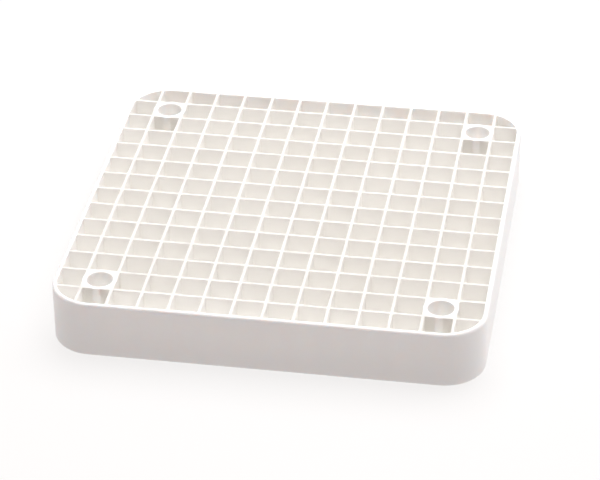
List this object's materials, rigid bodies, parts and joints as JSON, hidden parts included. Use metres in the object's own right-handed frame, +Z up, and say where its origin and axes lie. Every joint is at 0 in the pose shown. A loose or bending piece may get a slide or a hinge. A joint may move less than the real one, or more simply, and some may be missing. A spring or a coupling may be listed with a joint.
{
  "type": "square lattice block",
  "caption": "Flat square block of thin crossing ribs around open square cells, inside a frame with rounded corners, with tubular bosses near its corners.",
  "frame": {"origin": "middle of the underside", "axes": "+X left to right, +Y front to back, +Z up out of the top face; ribs run along X and Y"},
  "size_m": [0.224, 0.224, 0.031],
  "materials": {
    "white_plastic": "satin, as moulded"
  },
  "bodies": {
    "root": {"outer_frame": "white_plastic", "crosswise_rib_01": "white_plastic", "crosswise_rib_02": "white_plastic", "crosswise_rib_03": "white_plastic", "crosswise_rib_04": "white_plastic", "crosswise_rib_05": "white_plastic", "crosswise_rib_06": "white_plastic", "crosswise_rib_07": "white_plastic", "crosswise_rib_08": "white_plastic", "crosswise_rib_09": "white_plastic", "crosswise_rib_10": "white_plastic", "crosswise_rib_11": "white_plastic", "crosswise_rib_12": "white_plastic", "crosswise_rib_13": "white_plastic", "lengthwise_rib_01": "white_plastic", "lengthwise_rib_02": "white_plastic", "lengthwise_rib_03": "white_plastic", "lengthwise_rib_04": "white_plastic", "lengthwise_rib_05": "white_plastic", "lengthwise_rib_06": "white_plastic", "lengthwise_rib_07": "white_plastic", "lengthwise_rib_08": "white_plastic", "lengthwise_rib_09": "white_plastic", "lengthwise_rib_10": "white_plastic", "lengthwise_rib_11": "white_plastic", "lengthwise_rib_12": "white_plastic", "lengthwise_rib_13": "white_plastic", "front_left_boss": "white_plastic", "front_right_boss": "white_plastic", "back_left_boss": "white_plastic", "back_right_boss": "white_plastic"}
  },
  "joints": []
}
